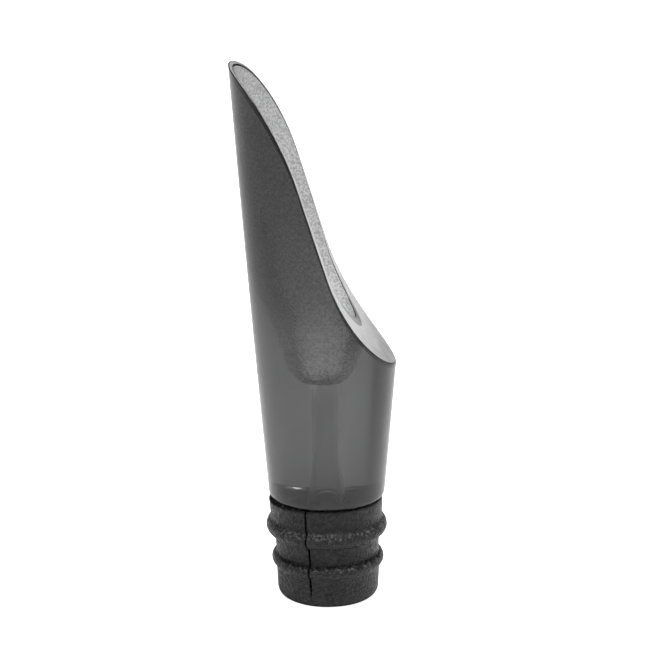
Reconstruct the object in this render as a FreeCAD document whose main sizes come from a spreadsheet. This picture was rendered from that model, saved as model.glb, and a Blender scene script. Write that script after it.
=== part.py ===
import FreeCAD, Part
import math
import os
import Sketcher

# A bottle pourer. A clear smoke-grey spout stands on a ribbed rubber stopper.
# The origin is the centre of the stopper's flat base, +Z runs up the stopper's
# axis, the beak's tip leans towards -X, and XZ is the plane of symmetry.
# All sizes are millimetres.

SIZES = [
    # the spout's outside: a cone that widens upwards, with very slightly bowed sides
    ("rim_level", 19.5),
    ("rim_radius", 10.58),
    ("crown_level", 106.0),
    ("crown_radius", 17.43),
    ("side_bow", 6000.0),
    ("rim_rounding", 0.7),
    # the cut that opens the beak: hollow at the shoulder, straight, then rounded over the beak
    ("foot_x", 16.0),
    ("foot_level", 42.04),
    ("hollow_radius", 43.81),
    ("waist_x", 0.1),
    ("waist_level", 64.4),
    ("neck_x", 4.84),
    ("neck_level", 80.39),
    ("beak_radius", 52.17),
    ("nose_x", 12.18),
    ("nose_level", 95.23),
    ("nose_radius", 20.55),
    ("cut_end_x", 27.13),
    ("cut_end_level", 103.79),
    ("waste_x", 24.0),
    ("waste_level", 110.0),
    ("waste_width", 60.0),
    # the throat, a straight bore up the axis
    ("throat_radius", 1.75),
    ("throat_foot", 24.0),
    ("throat_top", 46.0),
    # the well and the chute above it, one round hollow a little nearer the beak
    ("hollow_shift", 0.5),
    ("well_floor", 42.3),
    ("well_floor_radius", 2.35),
    ("well_rounding", 5.0),
    ("well_foot_radius", 4.0),
    ("well_foot", 45.3),
    ("well_top_radius", 6.0),
    ("well_top", 54.2),
    ("bowl_rounding", 60.0),
    ("bowl_radius", 9.9),
    ("bowl_level", 66.5),
    ("chute_bow", 233.0),
    ("chute_radius", 16.1),
    ("chute_level", 107.0),
    # the stem: a tube set in a socket in the spout's base, which passes through the stopper
    ("socket_radius", 6.02),
    ("socket_nose_radius", 4.22),
    ("socket_shoulder", 25.6),
    ("socket_top", 27.82),
    ("stem_radius", 6.0),
    ("stem_foot_radius", 5.95),
    ("stem_nose_radius", 4.2),
    ("stem_shoulder", 25.58),
    ("stem_top", 27.8),
    ("inlet_radius", 4.8),
    ("inlet_level", 8.0),
    ("flare_radius", 76.7),
    ("stem_foot_chamfer", 0.5),
    # the hard core that the rubber grips
    ("core_bore_radius", 6.04),
    ("core_radius", 7.0),
    ("core_top", 18.7),
    ("bead_radius", 7.8),
    ("bead_foot", 9.0),
    ("bead_top", 10.6),
    # the rubber sleeve, its two ribs and the groove inside that holds the core's bead
    ("sleeve_bore_radius", 7.02),
    ("groove_radius", 7.82),
    ("groove_foot", 8.98),
    ("groove_top", 10.62),
    ("sleeve_top", 19.35),
    ("band_radius", 10.4),
    ("band_foot_radius", 10.2),
    ("upper_rib_top", 14.9),
    ("upper_rib_rounding", 1.65),
    ("upper_rib_foot", 11.8),
    ("waistband_radius", 9.6),
    ("waistband_foot_radius", 9.35),
    ("lower_rib_top", 8.4),
    ("lower_rib_rounding", 1.42),
    ("lower_rib_foot", 5.8),
    ("plug_radius", 9.45),
    ("plug_foot_radius", 9.17),
    ("sleeve_edge", 0.4),
    ("rib_root_rounding", 0.4),
    ("base_rounding", 1.3),
]

NUMBERS = dict(SIZES)
TINY = 1e-4


def make_sheet(doc):
    """The spreadsheet that drives every piece, one named size to a row."""
    sheet = doc.addObject("Spreadsheet::Sheet", "Sizes")
    for row, (name, number) in enumerate(SIZES, start=1):
        sheet.set(f"A{row}", name)
        sheet.set(f"B{row}", str(number))
        sheet.setAlias(f"B{row}", name)
    doc.recompute()
    return sheet


def number(term):
    """The value of a size's name, which a minus sign may come before."""
    if term.startswith("-"):
        return -NUMBERS[term[1:]]
    return NUMBERS[term]


def cell(term):
    """The same size as an expression on the spreadsheet."""
    if term.startswith("-"):
        return f"-Sizes.{term[1:]}"
    return f"Sizes.{term}"


def origin_plane(body, role):
    """One of the body's own origin planes."""
    return next(item for item in body.Origin.OriginFeatures if item.Role == role)


def arc_between(start, end, radius, side):
    """The short arc from start to end; side is +1 where its centre lies left of the way along."""
    chord = end.sub(start)
    middle = start.add(chord.multiply(0.5))
    half = chord.Length
    rise = math.sqrt(radius ** 2 - half ** 2)
    left = FreeCAD.Vector(-chord.y, chord.x, 0)
    left.normalize()
    centre = middle.add(left.multiply(side * rise))
    circle = Part.Circle(centre, FreeCAD.Vector(0, 0, 1), radius)
    first, last = (start, end) if side > 0 else (end, start)
    return Part.ArcOfCircle(circle, circle.parameter(first), circle.parameter(last))


def add_outline(sketch, corners):
    """A closed outline. Each corner is (across, up, bend); bend is None for a straight run to the
    next corner, or (radius, side) for an arc. Every corner and radius is bound to the sheet."""
    points = []
    for across, up, bend in corners:
        x = number(across) if across else 0.0
        y = number(up) if up else 0.0
        points.append(FreeCAD.Vector(x, y, 0))
    ends = []
    for index, (across, up, bend) in enumerate(corners):
        start = points[index]
        end = points[(index + 1) % len(points)]
        if bend is None:
            geo = sketch.addGeometry(Part.LineSegment(start, end))
            ends.append((geo, 1, 2))
        else:
            radius, side = bend
            geo = sketch.addGeometry(arc_between(start, end, number(radius), side))
            ends.append((geo, 1, 2) if side > 0 else (geo, 2, 1))
    for index, (across, up, bend) in enumerate(corners):
        geo, first, last = ends[index]
        following, next_first, next_last = ends[(index + 1) % len(ends)]
        sketch.addConstraint(Sketcher.Constraint("Coincident", geo, last, following, next_first))
        place_corner(sketch, geo, first, across, up)
        if bend is not None:
            bound = sketch.addConstraint(Sketcher.Constraint("Radius", geo, number(bend[0])))
            sketch.setExpression(f"Constraints[{bound}]", cell(bend[0]))


def place_corner(sketch, geo, end, across, up):
    """Ties one corner to the sketch's origin; a blank term puts it on that axis."""
    for kind, term, axis in (("DistanceX", across, -2), ("DistanceY", up, -1)):
        if term:
            rule = Sketcher.Constraint(kind, -1, 1, geo, end, number(term))
            bound = sketch.addConstraint(rule)
            sketch.setExpression(f"Constraints[{bound}]", cell(term))
        else:
            sketch.addConstraint(Sketcher.Constraint("PointOnObject", geo, end, axis))


def outline_sketch(body, name, corners):
    """A sketch on the body's XZ plane, with X across and Z up."""
    sketch = body.newObject("Sketcher::SketchObject", name)
    sketch.AttachmentSupport = [(origin_plane(body, "XZ_Plane"), "")]
    sketch.MapMode = "FlatFace"
    add_outline(sketch, corners)
    return sketch


def turn(body, kind, name, sketch):
    """A full Revolution or Groove of the sketch about its upright axis."""
    feature = body.newObject(kind, name)
    feature.Profile = sketch
    feature.ReferenceAxis = (sketch, ["V_Axis"])
    feature.Angle = 360.0
    body.Document.recompute()
    return feature


def edges_at(shape, level, radius=None):
    """Names of the round edges in the plane z = level, and of that radius if one is given."""
    names = []
    for index, edge in enumerate(shape.Edges, start=1):
        box = edge.BoundBox
        if abs(box.ZMin - level) > TINY or abs(box.ZMax - level) > TINY:
            continue
        if radius is None or abs(box.XMax - radius) < TINY:
            names.append(f"Edge{index}")
    return names


def dress_edges(body, kind, name, names, size):
    """A Fillet or Chamfer of the named edges of the body's last feature."""
    base = body.Tip
    feature = body.newObject(kind, name)
    feature.Base = (base, names)
    feature.setExpression("Radius" if kind.endswith("Fillet") else "Size", cell(size))
    body.Document.recompute()
    return feature


def make_spout(doc):
    """The clear spout: a cone cut open to a beak, hollow inside, with a socket for the stem."""
    body = doc.addObject("PartDesign::Body", "spout_body")
    body.Label = "spout_body"
    cone = outline_sketch(body, "cone_outline", [
        ("", "rim_level", None),
        ("rim_radius", "rim_level", ("side_bow", 1)),
        ("crown_radius", "crown_level", None),
        ("", "crown_level", None),
    ])
    turn(body, "PartDesign::Revolution", "cone", cone)
    rim = edges_at(body.Shape, NUMBERS["rim_level"], NUMBERS["rim_radius"])
    dress_edges(body, "PartDesign::Fillet", "rim_fillet", rim, "rim_rounding")
    solid = body.Shape.Volume

    beak = outline_sketch(body, "beak_outline", [
        ("foot_x", "foot_level", ("hollow_radius", -1)),
        ("waist_x", "waist_level", None),
        ("-neck_x", "neck_level", ("beak_radius", 1)),
        ("-nose_x", "nose_level", ("nose_radius", 1)),
        ("-cut_end_x", "cut_end_level", None),
        ("-cut_end_x", "waste_level", None),
        ("waste_x", "waste_level", None),
        ("waste_x", "foot_level", None),
    ])
    cut = body.newObject("PartDesign::Pocket", "beak_cut")
    cut.Profile = beak
    cut.setExpression("Length", "Sizes.waste_width")
    cut.Midplane = True
    doc.recompute()
    assert body.Shape.Volume < 0.9 * solid, "the beak cut removed nothing"
    solid = body.Shape.Volume

    hollow = outline_sketch(body, "hollow_outline", [
        ("", "well_floor", None),
        ("well_floor_radius", "well_floor", ("well_rounding", 1)),
        ("well_foot_radius", "well_foot", None),
        ("well_top_radius", "well_top", ("bowl_rounding", 1)),
        ("bowl_radius", "bowl_level", ("chute_bow", 1)),
        ("chute_radius", "chute_level", None),
        ("", "chute_level", None),
    ])
    hollow.setExpression("AttachmentOffset.Base.x", "-Sizes.hollow_shift")
    turn(body, "PartDesign::Groove", "hollow", hollow)
    assert body.Shape.Volume < 0.8 * solid, "the hollow removed nothing"
    solid = body.Shape.Volume

    throat = outline_sketch(body, "throat_outline", [
        ("", "throat_foot", None),
        ("throat_radius", "throat_foot", None),
        ("throat_radius", "throat_top", None),
        ("", "throat_top", None),
    ])
    turn(body, "PartDesign::Groove", "throat", throat)
    assert body.Shape.Volume < solid, "the throat removed nothing"
    solid = body.Shape.Volume

    socket = outline_sketch(body, "socket_outline", [
        ("", "rim_level", None),
        ("socket_radius", "rim_level", None),
        ("socket_radius", "socket_shoulder", None),
        ("socket_nose_radius", "socket_top", None),
        ("", "socket_top", None),
    ])
    turn(body, "PartDesign::Groove", "stem_socket", socket)
    assert body.Shape.Volume < solid, "the socket removed nothing"
    return body


def make_stem(doc):
    """The stem tube, whose bore flares down to a wide inlet at the bottle's end."""
    body = doc.addObject("PartDesign::Body", "stem_tube")
    body.Label = "stem_tube"
    wall = outline_sketch(body, "wall_outline", [
        ("inlet_radius", "", None),
        ("stem_foot_radius", "", None),
        ("stem_radius", "stem_shoulder", None),
        ("stem_nose_radius", "stem_top", None),
        ("throat_radius", "stem_top", ("flare_radius", 1)),
        ("inlet_radius", "inlet_level", None),
    ])
    turn(body, "PartDesign::Revolution", "wall", wall)
    foot = edges_at(body.Shape, 0.0, NUMBERS["stem_foot_radius"])
    dress_edges(body, "PartDesign::Chamfer", "lead_in", foot, "stem_foot_chamfer")
    return body


def make_core(doc):
    """The hard core: a short tube with one bead that keys it to the rubber."""
    body = doc.addObject("PartDesign::Body", "stopper_core")
    body.Label = "stopper_core"
    ring = outline_sketch(body, "ring_outline", [
        ("core_bore_radius", "", None),
        ("core_radius", "", None),
        ("core_radius", "bead_foot", None),
        ("bead_radius", "bead_foot", None),
        ("bead_radius", "bead_top", None),
        ("core_radius", "bead_top", None),
        ("core_radius", "core_top", None),
        ("core_bore_radius", "core_top", None),
    ])
    turn(body, "PartDesign::Revolution", "ring", ring)
    return body


def make_sleeve(doc):
    """The rubber sleeve: a tapered plug with two rounded ribs and a rounded lower end."""
    body = doc.addObject("PartDesign::Body", "stopper_sleeve")
    body.Label = "stopper_sleeve"
    skin = outline_sketch(body, "skin_outline", [
        ("sleeve_bore_radius", "", None),
        ("plug_foot_radius", "", None),
        ("plug_radius", "lower_rib_foot", ("lower_rib_rounding", 1)),
        ("waistband_foot_radius", "lower_rib_top", None),
        ("waistband_radius", "upper_rib_foot", ("upper_rib_rounding", 1)),
        ("band_foot_radius", "upper_rib_top", None),
        ("band_radius", "sleeve_top", None),
        ("sleeve_bore_radius", "sleeve_top", None),
        ("sleeve_bore_radius", "groove_top", None),
        ("groove_radius", "groove_top", None),
        ("groove_radius", "groove_foot", None),
        ("sleeve_bore_radius", "groove_foot", None),
    ])
    turn(body, "PartDesign::Revolution", "skin", skin)
    foot = edges_at(body.Shape, 0.0, NUMBERS["plug_foot_radius"])
    dress_edges(body, "PartDesign::Fillet", "base_fillet", foot, "base_rounding")
    top = edges_at(body.Shape, NUMBERS["sleeve_top"], NUMBERS["band_radius"])
    dress_edges(body, "PartDesign::Fillet", "top_fillet", top, "sleeve_edge")
    roots = []
    for level in ("lower_rib_foot", "lower_rib_top", "upper_rib_foot", "upper_rib_top"):
        roots.extend(edges_at(body.Shape, NUMBERS[level]))
    dress_edges(body, "PartDesign::Fillet", "rib_roots", roots, "rib_root_rounding")
    return body


def check(doc, bodies):
    """Stops if any feature failed or any piece isn't one valid solid."""
    for item in doc.Objects:
        if "Invalid" in item.State or "Error" in item.State:
            raise RuntimeError(f"{item.Name} failed: {item.State}")
    for body in bodies:
        shape = body.Shape
        if shape.isNull() or not shape.isValid() or len(shape.Solids) != 1:
            raise RuntimeError(f"{body.Label} is not one valid solid")


def main():
    doc = FreeCAD.newDocument("pourer")
    make_sheet(doc)
    bodies = [make_spout(doc), make_stem(doc), make_core(doc), make_sleeve(doc)]
    doc.recompute()
    check(doc, bodies)
    os.makedirs("parts", exist_ok=True)
    for body in bodies:
        body.Shape.exportStep(f"parts/{body.Label}.step")
        box = body.Shape.BoundBox
        print(f"{body.Label}: {body.Shape.Volume:.1f} mm3, "
              f"x {box.XMin:.2f} {box.XMax:.2f}, z {box.ZMin:.2f} {box.ZMax:.2f}")


main()
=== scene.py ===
"""A bottle pourer: a clear smoke-grey spout with an open chute, on a ribbed black rubber stopper.

The scene is in metres. The outlines of the spout and of the rubber sleeve are worked out in
millimetres, about the stopper's axis, and become metres as their meshes are made."""

import math

import bmesh
import bpy
from mathutils import Matrix, Vector, noise


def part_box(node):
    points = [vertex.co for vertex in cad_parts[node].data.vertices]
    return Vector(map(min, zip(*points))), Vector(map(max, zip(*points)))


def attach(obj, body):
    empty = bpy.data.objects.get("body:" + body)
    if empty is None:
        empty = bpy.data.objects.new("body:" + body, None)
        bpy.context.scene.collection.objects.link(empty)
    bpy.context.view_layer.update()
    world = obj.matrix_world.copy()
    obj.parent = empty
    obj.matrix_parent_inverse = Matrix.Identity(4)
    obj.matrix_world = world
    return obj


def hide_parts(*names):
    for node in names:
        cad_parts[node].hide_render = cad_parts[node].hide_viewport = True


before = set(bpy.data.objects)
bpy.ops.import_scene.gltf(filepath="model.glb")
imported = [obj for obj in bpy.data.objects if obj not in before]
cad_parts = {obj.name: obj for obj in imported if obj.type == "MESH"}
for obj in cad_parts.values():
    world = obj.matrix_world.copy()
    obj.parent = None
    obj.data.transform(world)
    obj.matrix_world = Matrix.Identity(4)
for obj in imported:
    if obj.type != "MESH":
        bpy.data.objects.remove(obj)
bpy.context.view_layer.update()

MM = 0.001
SPOUT_LOW, SPOUT_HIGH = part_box("spout_body")
STEM_LOW, STEM_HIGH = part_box("stem_tube")
SLEEVE_LOW, SLEEVE_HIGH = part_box("stopper_sleeve")
RIM = SPOUT_LOW.z / MM
TIP = SPOUT_HIGH.z / MM
STEM_TOP = STEM_HIGH.z / MM
SLEEVE_TOP = SLEEVE_HIGH.z / MM


# ---------------------------------------------------------------- camera, lights and floor

VIEW_AZIMUTH = math.radians(-0.52)
VIEW_ELEVATION = math.radians(17.62)
VIEW_ROLL = math.radians(0.33)
VIEW_DISTANCE = 0.63
VIEW_AIM = Vector((0, 0, 0.54 * SPOUT_HIGH.z))
VIEW_SHIFT_X = -0.0051
VIEW_SHIFT_Y = -0.0171
FRAME_WIDTH = 0.1161
SENSOR = 36.0

# Each light's name, place, target, width, height, power in watts and beam in degrees.
LIGHTS = [
    ("overhead", (0.05, 0.38, 0.60), (0.05, 0.38, 0), 0.8, 0.8, 1.7, 80),
    ("top", (0.02, -0.09, 0.45), (0.0, -0.02, 0), 0.10, 0.10, 0.16, 50),
    ("right", (0.50, -0.22, 0.26), (0, 0, 0.05), 0.30, 0.45, 0.30, 120),
    ("left", (-0.45, -0.35, 0.35), (0, 0, 0.05), 0.20, 0.45, 0.3, 120),
]
SURROUND_STRENGTH = 0.05
FLOOR_SIZE = 8
FLOOR_WHITE = 0.97


def make_camera():
    """A long lens a little above the object, which looks along +Y."""
    data = bpy.data.cameras.new("view")
    data.sensor_width = SENSOR
    data.lens = SENSOR * VIEW_DISTANCE / FRAME_WIDTH
    data.shift_x = VIEW_SHIFT_X
    data.shift_y = VIEW_SHIFT_Y
    data.clip_start = 0.01
    camera = bpy.data.objects.new("view", data)
    bpy.context.collection.objects.link(camera)
    sin_a, cos_a = math.sin(VIEW_AZIMUTH), math.cos(VIEW_AZIMUTH)
    sin_e, cos_e = math.sin(VIEW_ELEVATION), math.cos(VIEW_ELEVATION)
    right = Vector((cos_a, sin_a, 0))
    up = Vector((-sin_e * sin_a, sin_e * cos_a, cos_e))
    back = Vector((cos_e * sin_a, -cos_e * cos_a, sin_e))
    rolled_right = right * math.cos(VIEW_ROLL) - up * math.sin(VIEW_ROLL)
    rolled_up = right * math.sin(VIEW_ROLL) + up * math.cos(VIEW_ROLL)
    turn = Matrix((rolled_right, rolled_up, back)).transposed()
    camera.matrix_world = Matrix.Translation(VIEW_AIM + back * VIEW_DISTANCE) @ turn.to_4x4()
    bpy.context.scene.camera = camera


def area_light(name, place, target, width, height, power, beam):
    """A soft rectangular light that faces the target."""
    data = bpy.data.lights.new(name, "AREA")
    data.shape = "RECTANGLE"
    data.size, data.size_y = width, height
    data.energy = power
    data.spread = math.radians(beam)
    light = bpy.data.objects.new(name, data)
    light.location = place
    light.rotation_euler = (Vector(target) - Vector(place)).to_track_quat("-Z", "Y").to_euler()
    bpy.context.collection.objects.link(light)


def make_studio():
    """An even pale surround and four soft lights."""
    world = bpy.data.worlds.new("tent")
    world.use_nodes = True
    background = world.node_tree.nodes["Background"]
    background.inputs["Color"].default_value = (1, 1, 1, 1)
    background.inputs["Strength"].default_value = SURROUND_STRENGTH
    bpy.context.scene.world = world
    for light in LIGHTS:
        area_light(*light)
    bpy.context.scene.view_settings.view_transform = "Standard"


def make_floor():
    """A plain floor that looks white, but lights the object no more than a pale floor does."""
    bpy.ops.mesh.primitive_plane_add(size=FLOOR_SIZE)
    floor = bpy.context.object
    floor.name = "floor"
    paint = bpy.data.materials.new("floor_white")
    paint.use_nodes = True
    nodes, links = paint.node_tree.nodes, paint.node_tree.links
    shader = nodes["Principled BSDF"]
    shader.inputs["Base Color"].default_value = (FLOOR_WHITE, FLOOR_WHITE, FLOOR_WHITE, 1)
    shader.inputs["Roughness"].default_value = 0.9
    shader.inputs["Specular IOR Level"].default_value = 0.0
    shader.inputs["Emission Color"].default_value = (1, 1, 1, 1)
    seen = nodes.new("ShaderNodeLightPath").outputs["Is Camera Ray"]
    links.new(seen, shader.inputs["Emission Strength"])
    floor.data.materials.append(paint)


# ---------------------------------------------------------------- outlines, as X by height

def arc_x(start, end, radius, side):
    """X as a function of height on the short arc from start to end, both (x, z). side is +1
    where the arc's centre lies left of the way along."""
    middle = ((start[0] + end[0]) / 2, (start[1] + end[1]) / 2)
    run = (end[0] - start[0], end[1] - start[1])
    length = math.hypot(*run)
    rise = math.sqrt(radius ** 2 - (length / 2) ** 2)
    centre_x = middle[0] - side * rise * run[1] / length
    centre_z = middle[1] + side * rise * run[0] / length
    bulge = 1 if start[0] + end[0] > 2 * centre_x else -1

    def x_at(z):
        return centre_x + bulge * math.sqrt(max(radius ** 2 - (z - centre_z) ** 2, 0.0))
    return x_at


def line_x(start, end):
    """X as a function of height on the straight line from start to end."""
    slope = (end[0] - start[0]) / (end[1] - start[1])
    return lambda z: start[0] + slope * (z - start[1])


# The spout's outside: a cone with a faint bow, from its rim to a crown above the tip.
RIM_RADIUS = 10.58
CROWN = (17.43, 106.0)
SIDE_BOW = 6000.0
outer_radius = arc_x((RIM_RADIUS, RIM), CROWN, SIDE_BOW, 1)

# The cut that opens the beak, in the plane of symmetry, from its foot up to its nose.
FOOT = (16.0, 42.04)
WAIST = (0.1, 64.4)
NECK = (-4.84, 80.39)
NOSE = (-12.18, 95.23)
CUT_END = (-27.13, 103.79)
cut_hollow = arc_x(FOOT, WAIST, 43.81, -1)
cut_line = line_x(WAIST, NECK)
cut_beak = arc_x(NECK, NOSE, 52.17, 1)
cut_nose = arc_x(NOSE, CUT_END, 20.55, 1)


def cut_x(z):
    """Where the beak's cut crosses the plane of symmetry at height z."""
    if z < WAIST[1]:
        return cut_hollow(z)
    if z < NECK[1]:
        return cut_line(z)
    if z < NOSE[1]:
        return cut_beak(z)
    return cut_nose(z)


# The hollow's radius by height: the well, then the bowl, then the chute. Its axis is moved back.
HOLLOW_SHIFT = 0.5
THROAT_RADIUS = 1.75
WELL_FLOOR = (2.35, 42.3)
WELL_FOOT = (4.0, 45.3)
WELL_TOP = (6.0, 54.2)
BOWL = (9.9, 66.5)
CHUTE_END = (16.1, 107.0)
WELL_BLEND = 1.6
well_corner = arc_x(WELL_FLOOR, WELL_FOOT, 5.0, 1)
well_wall = line_x(WELL_FOOT, WELL_TOP)
bowl_wall = arc_x(WELL_TOP, BOWL, 60.0, 1)
chute_wall = arc_x(BOWL, CHUTE_END, 233.0, 1)


def hollow_radius(z):
    """The radius of the well, bowl and chute at height z, with the well's lip softened."""
    if z < WELL_FOOT[1]:
        return well_corner(z)
    if z > BOWL[1]:
        return chute_wall(z)
    gap = z - WELL_TOP[1]
    if gap < -WELL_BLEND:
        return well_wall(z)
    if gap > WELL_BLEND:
        return bowl_wall(z)
    share = (gap / WELL_BLEND + 1) / 2
    low = well_wall(WELL_TOP[1] - WELL_BLEND)
    high = bowl_wall(WELL_TOP[1] + WELL_BLEND)
    return (1 - share) ** 2 * low + 2 * share * (1 - share) * WELL_TOP[0] + share ** 2 * high


def height_on_cut(x_at):
    """The height at which the outline x_at crosses the cut, found by halving."""
    low, high = FOOT[1] + 1, TIP + 1
    for _ in range(48):
        middle = (low + high) / 2
        if x_at(middle) > cut_x(middle):
            high = middle
        else:
            low = middle
    return (low + high) / 2


# ---------------------------------------------------------------- mesh helpers

def between(low, high, count):
    """count even steps from low, which is left out, to high."""
    return [low + (high - low) * (i + 1) / count for i in range(count)]


def clamped_share(value, low, high):
    """How far value is on the way from low to high, from 0 to 1."""
    return min(1.0, max(0.0, (value - low) / (high - low)))


def polar(radius, angle, z, shift=0.0):
    """A point at a radius and an angle from the upright axis, which is moved back by shift."""
    return Vector((radius * math.cos(angle) - shift, radius * math.sin(angle), z))


def round_corner(before, corner, after, size, steps=5):
    """Points on a soft bend that starts size before the corner and ends size after it."""
    first = corner + (before - corner).normalized() * size
    last = corner + (after - corner).normalized() * size
    points = []
    for i in range(steps + 1):
        t = i / steps
        points.append(first * (1 - t) ** 2 + corner * 2 * t * (1 - t) + last * t ** 2)
    return points


def tube_mesh(name, columns, parts):
    """A closed mesh from columns, each a closed ring of points. parts gives the number of each
    point's material, column by column."""
    mesh = bmesh.new()
    grid = [[mesh.verts.new(point * MM) for point in column] for column in columns]
    rows = len(columns[0])
    for i, column in enumerate(grid):
        following = grid[(i + 1) % len(grid)]
        for j in range(rows):
            k = (j + 1) % rows
            face = mesh.faces.new((column[j], following[j], following[k], column[k]))
            face.material_index = parts[i][j]
            face.smooth = True
    bmesh.ops.recalc_face_normals(mesh, faces=mesh.faces)
    data = bpy.data.meshes.new(name)
    mesh.to_mesh(data)
    mesh.free()
    piece = bpy.data.objects.new(name, data)
    bpy.context.collection.objects.link(piece)
    return piece


# ---------------------------------------------------------------- the clear spout

SPOUT_COLUMNS = 224
STEM_RADIUS = 6.0
STEM_FOOT_RADIUS = 5.95
STEM_CHAMFER = 0.5
INLET_RADIUS = 4.8
INLET_LEVEL = 8.0
FLARE_BOW = 76.7
THROAT_LIP = 0.2
RIM_ROUNDING = 0.7
EDGE_ROUNDING = 0.32
FAR_EDGE_ROUNDING = 0.2
SKIN, CUT, BORE, FROST, SEAT, EDGE = 0, 1, 2, 3, 4, 5
flare = arc_x((THROAT_RADIUS, STEM_TOP), (INLET_RADIUS, INLET_LEVEL), FLARE_BOW, 1)


def bore_rows(angle):
    """The inlet's straight bore, the flare above it and the throat, from the bottom up."""
    outline = [(INLET_RADIUS, z) for z in [0.0] + between(0.0, INLET_LEVEL, 4)]
    outline += [(flare(z), z) for z in between(INLET_LEVEL, STEM_TOP, 16)]
    outline += [(THROAT_RADIUS, z) for z in between(STEM_TOP, WELL_FLOOR[1] - THROAT_LIP, 8)]
    return [(polar(radius, angle, z), BORE) for radius, z in outline]


def well_rows(angle):
    """The throat's soft lip and the well's rounded floor, as the axis moves back."""
    lip = [polar(THROAT_RADIUS + 0.06, angle, WELL_FLOOR[1] - 0.06, HOLLOW_SHIFT * 0.1),
           polar(THROAT_RADIUS + THROAT_LIP, angle, WELL_FLOOR[1], HOLLOW_SHIFT * 0.3)]
    depth = WELL_FOOT[1] - WELL_FLOOR[1]
    heights = [WELL_FLOOR[1] + depth * t ** 2 for t in between(0.0, 1.0, 8)]
    floor = [polar(hollow_radius(z), angle, z, HOLLOW_SHIFT) for z in heights]
    return [(point, FROST) for point in lip + floor]


def wall_rows(angle):
    """Up the hollow's wall, over the cut with its two soft edges and down the outside."""

    def hollow_point(z):
        return polar(hollow_radius(z), angle, z, HOLLOW_SHIFT)

    def outer_point(z):
        return polar(outer_radius(z), angle, z)

    inner_edge = hollow_point(height_on_cut(lambda z: hollow_point(z).x))
    outer_edge = outer_point(height_on_cut(lambda z: outer_point(z).x))

    def on_cut(t):
        z = inner_edge.z + (outer_edge.z - inner_edge.z) * t
        y = inner_edge.y + (outer_edge.y - inner_edge.y) * t
        return Vector((cut_x(z), y, z))

    inner_bend = round_corner(hollow_point(inner_edge.z - 0.5), inner_edge, on_cut(0.3),
                              EDGE_ROUNDING)
    outer_bend = round_corner(on_cut(0.7), outer_edge, outer_point(outer_edge.z - 0.5),
                              EDGE_ROUNDING + FAR_EDGE_ROUNDING * max(0.0, math.sin(angle)))

    hollow = [hollow_point(z) for z in between(WELL_FOOT[1], inner_bend[0].z, 72)]
    cut = [on_cut(t) for t in (0.2, 0.35, 0.5, 0.65, 0.8)]
    side = [outer_point(z) for z in between(outer_bend[-1].z, RIM + 2 * RIM_ROUNDING, 64)]
    return ([(point, FROST) for point in hollow] + [(point, EDGE) for point in inner_bend[1:]]
            + [(point, CUT) for point in cut] + [(point, EDGE) for point in outer_bend]
            + [(point, SKIN) for point in side])


def foot_rows(angle):
    """Round the rim, in under the spout and down the stem to its chamfered end."""
    wall_foot = RIM + 2 * RIM_ROUNDING
    rim = round_corner(polar(outer_radius(wall_foot), angle, wall_foot),
                       polar(RIM_RADIUS, angle, RIM),
                       polar(STEM_RADIUS, angle, RIM), RIM_ROUNDING, 8)
    under = [(radius, RIM) for radius in between(RIM_RADIUS - RIM_ROUNDING, STEM_RADIUS, 6)]
    stem = list(zip(between(STEM_RADIUS, STEM_FOOT_RADIUS, 8), between(RIM, STEM_CHAMFER, 8)))
    end = [(STEM_FOOT_RADIUS - STEM_CHAMFER, 0.0)]
    return ([(point, SKIN) for point in rim]
            + [(polar(radius, angle, z), SEAT) for radius, z in under + stem + end])


def make_spout(finishes):
    """The whole clear moulding with its stem. finishes are its skin, cut, bore, frost, seat and
    edge, in that order."""
    columns, parts = [], []
    for i in range(SPOUT_COLUMNS):
        angle = 2 * math.pi * (i + 0.5) / SPOUT_COLUMNS
        rows = bore_rows(angle) + well_rows(angle) + wall_rows(angle) + foot_rows(angle)
        columns.append([point for point, _ in rows])
        parts.append([part for _, part in rows])
    piece = tube_mesh("clear_spout", columns, parts)
    for finish in finishes:
        piece.data.materials.append(finish)
    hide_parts("spout_body", "stem_tube")
    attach(piece, "spout")


# ---------------------------------------------------------------- the rubber sleeve

SLEEVE_COLUMNS = 320
BORE_RADIUS = 7.02
PLUG_FOOT = (9.17, 0.0)
PLUG_TOP = (9.45, 5.8)
LOW_RIB_TOP = (9.35, 8.4)
UP_RIB_FOOT = (9.6, 11.8)
UP_RIB_TOP = (10.2, 14.9)
BAND_TOP = (10.4, SLEEVE_TOP)
FOOT_ROUNDING = 1.3
BAND_ROUNDING = 0.4
BORE_ROUNDING = 0.3
RIB_ROWS = 18
plug = line_x(PLUG_FOOT, PLUG_TOP)
low_rib = arc_x(PLUG_TOP, LOW_RIB_TOP, 1.42, 1)
waist = line_x(LOW_RIB_TOP, UP_RIB_FOOT)
up_rib = arc_x(UP_RIB_FOOT, UP_RIB_TOP, 1.65, 1)
band = line_x(UP_RIB_TOP, BAND_TOP)

# The split down the front of the rubber, which dies out above the foot.
SPLIT_ANGLE = math.radians(270 - 21.5)
SPLIT_BAND = math.radians(9)
SPLIT_BAND_COLUMNS = 90
SPLIT_HALF_WIDTH = 0.13
SPLIT_LEAST_WIDTH = 0.05
SPLIT_DEPTH = 2.0
SPLIT_END = 2.4
SPLIT_FULL = 4.0

# How the soft rubber strays from a turned shape: swells, a sagging top and a slight lean.
SWELL = 0.05
SAG_LEFT = 0.75
SAG_RIGHT = 0.25
SAG_START = 15.5
SAG_RUN = 3.7
LEAN_START = 6.0
LEAN_LOW = 0.18
LEAN_CHANGE = 0.40


def rib_points(foot, top, x_at):
    """(radius, z) points up one rib, between its two roots."""
    low, high = foot[1] + 0.1, top[1] - 0.1
    return [(x_at(z), z) for z in [low] + between(low, high, RIB_ROWS)]


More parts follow.
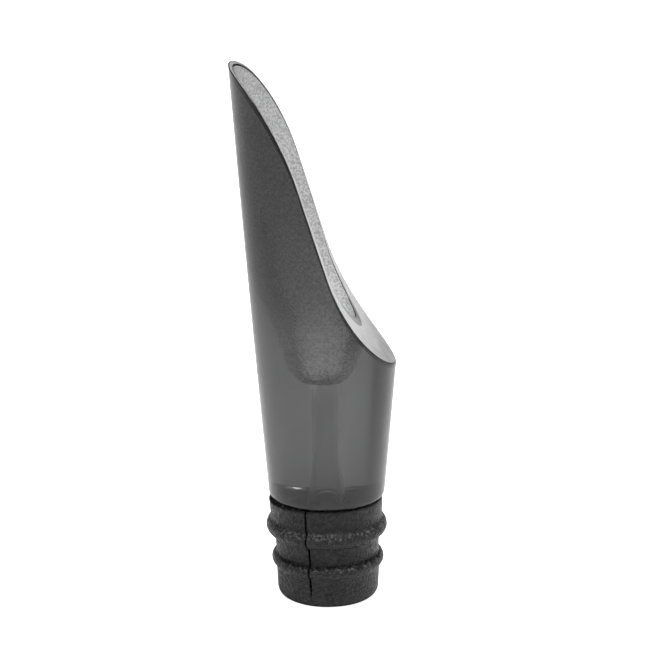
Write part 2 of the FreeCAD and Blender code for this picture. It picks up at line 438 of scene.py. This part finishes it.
def sleeve_outline():
    """The sleeve's section as a closed ring of (radius, z), up the outside and down the bore."""
    ring = [(BORE_RADIUS + 0.25, 0.0)]
    ring += [(PLUG_FOOT[0] - FOOT_ROUNDING + FOOT_ROUNDING * math.sin(a),
              FOOT_ROUNDING - FOOT_ROUNDING * math.cos(a))
             for a in [math.radians(d) for d in range(0, 90, 10)]]
    ring += [(plug(z), z) for z in (1.4, 2.0, 2.6, 3.2, 3.8, 4.4, 5.0, 5.4, 5.65)]
    ring += rib_points(PLUG_TOP, LOW_RIB_TOP, low_rib)
    ring += [(waist(z), z) for z in (8.55, 8.9, 9.5, 10.1, 10.7, 11.3, 11.65)]
    ring += rib_points(UP_RIB_FOOT, UP_RIB_TOP, up_rib)
    ring += [(band(z), z) for z in (15.05, 15.4, 16.0, 16.7, 17.4, 18.1, 18.7)]
    ring += [(BAND_TOP[0] - BAND_ROUNDING + BAND_ROUNDING * math.cos(a),
              SLEEVE_TOP - BAND_ROUNDING + BAND_ROUNDING * math.sin(a))
             for a in [math.radians(d) for d in (15, 35, 55, 75, 90)]]
    ring += [(BORE_RADIUS + inset, SLEEVE_TOP) for inset in (2.2, 1.1, BORE_ROUNDING)]
    ring.append((BORE_RADIUS, SLEEVE_TOP - BORE_ROUNDING))
    ring += [(BORE_RADIUS, z) for z in between(SLEEVE_TOP, BORE_ROUNDING, 8)]
    return ring


def sleeve_angles():
    """The columns' angles, crowded together around the split."""
    first = SPLIT_ANGLE - SPLIT_BAND
    angles = [first + 2 * SPLIT_BAND * i / SPLIT_BAND_COLUMNS for i in range(SPLIT_BAND_COLUMNS)]
    rest = 2 * math.pi - 2 * SPLIT_BAND
    others = SLEEVE_COLUMNS - SPLIT_BAND_COLUMNS
    angles += [SPLIT_ANGLE + SPLIT_BAND + rest * i / others for i in range(others)]
    return angles


def split_path(z):
    """How far the split wanders sideways at height z: a slow drift and small jags."""
    drift = 0.12 * noise.noise(Vector((3.1, 0.0, z * 0.22)))
    jags = 0.09 * noise.noise(Vector((8.4, 0.0, z * 1.6)))
    return drift + jags + 0.01 * (SLEEVE_TOP - z)


def split_depth(radius, z, angle):
    """How deep the split is pressed in at a point on the outside."""
    away = (angle - SPLIT_ANGLE) * radius - split_path(z)
    width = SPLIT_HALF_WIDTH * (1 + 0.35 * noise.noise(Vector((1.0, 5.0, z * 1.1))))
    fade = clamped_share(z, SPLIT_END, SPLIT_FULL)
    return SPLIT_DEPTH * fade * math.exp(-(away / max(width, SPLIT_LEAST_WIDTH)) ** 4)


def sleeve_point(radius, z, angle):
    """One point of the sleeve, with the rubber's slight unevenness and the split pressed in."""
    direction = Vector((math.cos(angle), math.sin(angle), 0))
    sag = (SAG_LEFT if direction.x < 0 else SAG_RIGHT) * direction.x ** 2
    drop = sag * max(0.0, (z - SAG_START) / SAG_RUN) ** 2
    lean = 0.0
    if radius > BORE_RADIUS + 0.5:
        swell = noise.noise(Vector((direction.x * 1.7, direction.y * 1.7, z * 0.12)))
        radius += SWELL * swell
        radius -= split_depth(radius, z, angle)
        lean = LEAN_LOW - LEAN_CHANGE * clamped_share(z, LEAN_START, SLEEVE_TOP)
    return direction * radius + Vector((lean, 0, z - drop))


def make_sleeve(rubber):
    """The ribbed stopper with its split."""
    ring = sleeve_outline()
    columns = [[sleeve_point(radius, z, angle) for radius, z in ring]
               for angle in sleeve_angles()]
    piece = tube_mesh("rubber_sleeve", columns, [[0] * len(ring)] * len(columns))
    piece.data.materials.append(rubber)
    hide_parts("stopper_sleeve")
    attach(piece, "stopper")


# ---------------------------------------------------------------- materials

class Nodes:
    """Short calls for building a material's node tree. Noise scales are in cells per metre."""

    def __init__(self, name):
        self.material = bpy.data.materials.new(name)
        self.material.use_nodes = True
        self.tree = self.material.node_tree
        self.shader = self.tree.nodes["Principled BSDF"]
        self.place = self.tree.nodes.new("ShaderNodeTexCoord").outputs["Object"]

    def noise(self, scale, detail=2.0, roughness=0.5):
        node = self.tree.nodes.new("ShaderNodeTexNoise")
        node.inputs["Scale"].default_value = scale
        node.inputs["Detail"].default_value = detail
        node.inputs["Roughness"].default_value = roughness
        self.tree.links.new(self.place, node.inputs["Vector"])
        return node.outputs["Fac"]

    def ramp(self, value, stops):
        """The value turned into greys. stops is a list of (position, grey)."""
        node = self.tree.nodes.new("ShaderNodeValToRGB")
        steps = node.color_ramp.elements
        for index, (position, grey) in enumerate(stops):
            step = steps[index] if index < 2 else steps.new(position)
            step.position = position
            step.color = (grey, grey, grey, 1)
        self.tree.links.new(value, node.inputs["Fac"])
        return node.outputs["Color"]

    def map_range(self, value, low, high, bottom=0.0, top=1.0):
        """The value from low to high moved to a range from bottom to top."""
        node = self.tree.nodes.new("ShaderNodeMapRange")
        node.inputs["From Min"].default_value = low
        node.inputs["From Max"].default_value = high
        node.inputs["To Min"].default_value = bottom
        node.inputs["To Max"].default_value = top
        self.tree.links.new(value, node.inputs["Value"])
        return node.outputs["Result"]

    def combine(self, operation, first, second):
        node = self.tree.nodes.new("ShaderNodeMath")
        node.operation = operation
        self.tree.links.new(first, node.inputs[0])
        self.tree.links.new(second, node.inputs[1])
        return node.outputs["Value"]

    def product(self, first, second):
        return self.combine("MULTIPLY", first, second)

    def total(self, first, second):
        return self.combine("ADD", first, second)

    def axes(self):
        """The point's X, Y and Z, in metres."""
        node = self.tree.nodes.new("ShaderNodeSeparateXYZ")
        self.tree.links.new(self.place, node.inputs["Vector"])
        return node.outputs["X"], node.outputs["Y"], node.outputs["Z"]

    def height(self, low, high, bottom=0.0, top=1.0):
        """A value that runs from bottom to top between two heights, in metres."""
        return self.map_range(self.axes()[2], low, high, bottom, top)

    def around(self):
        """The angle about the upright axis as a share of a turn, 0.25 towards -Y."""
        x, y, _ = self.axes()
        return self.map_range(self.combine("ARCTAN2", y, x), -math.pi, math.pi)

    def bump(self, height, strength, distance):
        node = self.tree.nodes.new("ShaderNodeBump")
        node.inputs["Strength"].default_value = strength
        node.inputs["Distance"].default_value = distance
        self.tree.links.new(height, node.inputs["Height"])
        self.tree.links.new(node.outputs["Normal"], self.shader.inputs["Normal"])

    def link(self, value, socket):
        self.tree.links.new(value, self.shader.inputs[socket])

    def set(self, socket, value):
        self.shader.inputs[socket].default_value = value


PLASTIC_IOR = 1.49
BORE_TINT = 0.8

# The smoke tint of the outside, by share of the height from SKIN_LOW to SKIN_HIGH, times painted
# light and shade by share of a turn: lightest a little right of the front, with a painted dark
# band further right of the front, and darker at the sides and back.
SKIN_LOW = 0.02
SKIN_HIGH = 0.10
SKIN_TINT = [(0.0, 0.05), (0.08, 0.09), (0.2, 0.125), (0.36, 0.14), (0.5, 0.07), (1.0, 0.06)]
SKIN_PAINTED_SHADING = [(0.0, 0.6), (0.16, 0.8), (0.3, 1.15), (0.345, 0.85), (0.37, 0.15), (0.41, 0.12),
              (0.432, 0.6), (0.6, 0.8), (1.0, 0.6)]

# Painted highlights: light specks painted on the ribs' shoulders, by share of the sleeve's
# height.
RIB_PAINTED_HIGHLIGHTS = [(0.37, 0.0), (0.405, 0.8), (0.44, 0.0), (0.70, 0.0), (0.745, 0.8), (0.79, 0.0)]


def clear_plastic(name, roughness, ripple):
    """Clear plastic that has no tint yet, and its nodes. roughness is a (least, most) pair, and
    ripple the strength of the mould's faint flow marks."""
    nodes = Nodes(name)
    nodes.set("Transmission Weight", 1.0)
    nodes.set("IOR", PLASTIC_IOR)
    least, most = roughness
    nodes.link(nodes.ramp(nodes.noise(180.0), [(0.35, least), (0.7, most)]), "Roughness")
    nodes.bump(nodes.noise(90.0, 1.0), ripple, 0.0002)
    return nodes


def tinted_skin_with_painted_shading():
    """The polished outside, where the smoke tint lies, with painted light and shade around it: a
    lighter front and a painted dark band right of the front.
    """
    nodes = clear_plastic("smoke_skin_painted_shading", (0.01, 0.05), 0.06)
    tint = nodes.ramp(nodes.height(SKIN_LOW, SKIN_HIGH), SKIN_TINT)
    # Painted light and shade around the turn, multiplied into the tint.
    painted_shading = nodes.ramp(nodes.around(), SKIN_PAINTED_SHADING)
    nodes.link(nodes.product(tint, painted_shading), "Base Color")
    return nodes.material


def bore_plastic():
    """The smooth bore, flare and throat, nearly without tint."""
    nodes = clear_plastic("smoke_bore", (0.04, 0.10), 0.1)
    nodes.set("Base Color", (BORE_TINT, BORE_TINT, BORE_TINT, 1))
    return nodes.material


def frosted_plastic():
    """The hollow's skin, whose fine frost part scatters and part passes the light. Low in the
    well it is smoother and passes less."""
    nodes = Nodes("smoke_frost")
    speckle = nodes.ramp(nodes.noise(2600.0, 3.0), [(0.38, 0.54), (0.62, 1.0)])
    nodes.link(nodes.product(speckle, nodes.height(0.046, 0.062, 1.1, 1.0)), "Base Color")
    nodes.link(nodes.height(0.042, 0.053, 0.1, 0.48), "Transmission Weight")
    nodes.set("IOR", PLASTIC_IOR)
    nodes.link(nodes.height(0.044, 0.062, 0.3, 0.48), "Roughness")
    nodes.bump(nodes.noise(2200.0, 2.0), 0.25, 0.0002)
    return nodes.material


def cut_plastic(name, painted_grey, clearness):
    """A cut face or a moulded edge, mostly opaque, whose grey is painted: light grey on the cut
    face is painted light, near black on the edges is painted shade. Its grey is a (least, most)
    pair."""
    nodes = Nodes(name)
    least, most = painted_grey
    # Painted light on the cut face and painted shade on the edges.
    nodes.link(nodes.ramp(nodes.noise(320.0), [(0.35, least), (0.7, most)]), "Base Color")
    nodes.set("Transmission Weight", clearness)
    nodes.set("IOR", PLASTIC_IOR)
    nodes.link(nodes.ramp(nodes.noise(200.0), [(0.35, 0.12), (0.7, 0.22)]), "Roughness")
    nodes.bump(nodes.noise(150.0, 1.0), 0.08, 0.0002)
    return nodes.material


def seat_plastic():
    """The spout's underside and its stem, which lie in the black stopper and show it through."""
    nodes = Nodes("smoke_seat")
    nodes.link(nodes.ramp(nodes.noise(420.0), [(0.3, 0.012), (0.7, 0.03)]), "Base Color")
    nodes.set("Transmission Weight", 0.12)
    nodes.set("IOR", PLASTIC_IOR)
    nodes.link(nodes.ramp(nodes.noise(260.0), [(0.3, 0.12), (0.7, 0.25)]), "Roughness")
    return nodes.material


def black_rubber():
    """Matte black rubber with a fine grain, and light specks painted on the ribs' shoulders as
    painted highlights."""
    nodes = Nodes("black_rubber")
    grain = nodes.ramp(nodes.noise(900.0, 4.0, 0.6), [(0.35, 0.004), (0.7, 0.02)])
    highlight_specks = nodes.ramp(nodes.noise(1900.0, 3.0, 0.6), [(0.5, 0.0), (0.64, 0.15)])
    painted_highlight = nodes.ramp(nodes.height(0.0, SLEEVE_TOP * MM), RIB_PAINTED_HIGHLIGHTS)
    # The specks on the ribs' shoulders are painted highlights.
    nodes.link(nodes.total(grain, nodes.product(highlight_specks, painted_highlight)), "Base Color")
    nodes.link(nodes.ramp(nodes.noise(1500.0, 2.0), [(0.35, 0.22), (0.65, 0.5)]), "Roughness")
    nodes.set("Specular IOR Level", 0.3)
    nodes.bump(nodes.noise(1700.0, 3.0, 0.6), 1.0, 0.0005)
    return nodes.material


def hard_black_plastic():
    """The stopper's hidden core: moulded black plastic with a light texture."""
    nodes = Nodes("hard_black")
    nodes.link(nodes.ramp(nodes.noise(500.0), [(0.3, 0.012), (0.7, 0.022)]), "Base Color")
    nodes.link(nodes.ramp(nodes.noise(800.0), [(0.3, 0.3), (0.7, 0.45)]), "Roughness")
    nodes.bump(nodes.noise(1600.0), 0.2, 0.0001)
    return nodes.material


def main():
    """The camera, the studio and the whole pourer."""
    make_camera()
    make_studio()
    make_floor()
    # The skin carries painted light and shade, the cut face painted light and the edges painted
    # shade.
    make_spout([tinted_skin_with_painted_shading(),
                cut_plastic("smoke_cut_painted_light", (0.42, 0.52), 0.25),
                bore_plastic(),
                frosted_plastic(),
                seat_plastic(),
                cut_plastic("smoke_edge_painted_shade", (0.012, 0.02), 0.3)])
    make_sleeve(black_rubber())
    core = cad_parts["stopper_core"]
    core.data.materials.clear()
    core.data.materials.append(hard_black_plastic())


main()
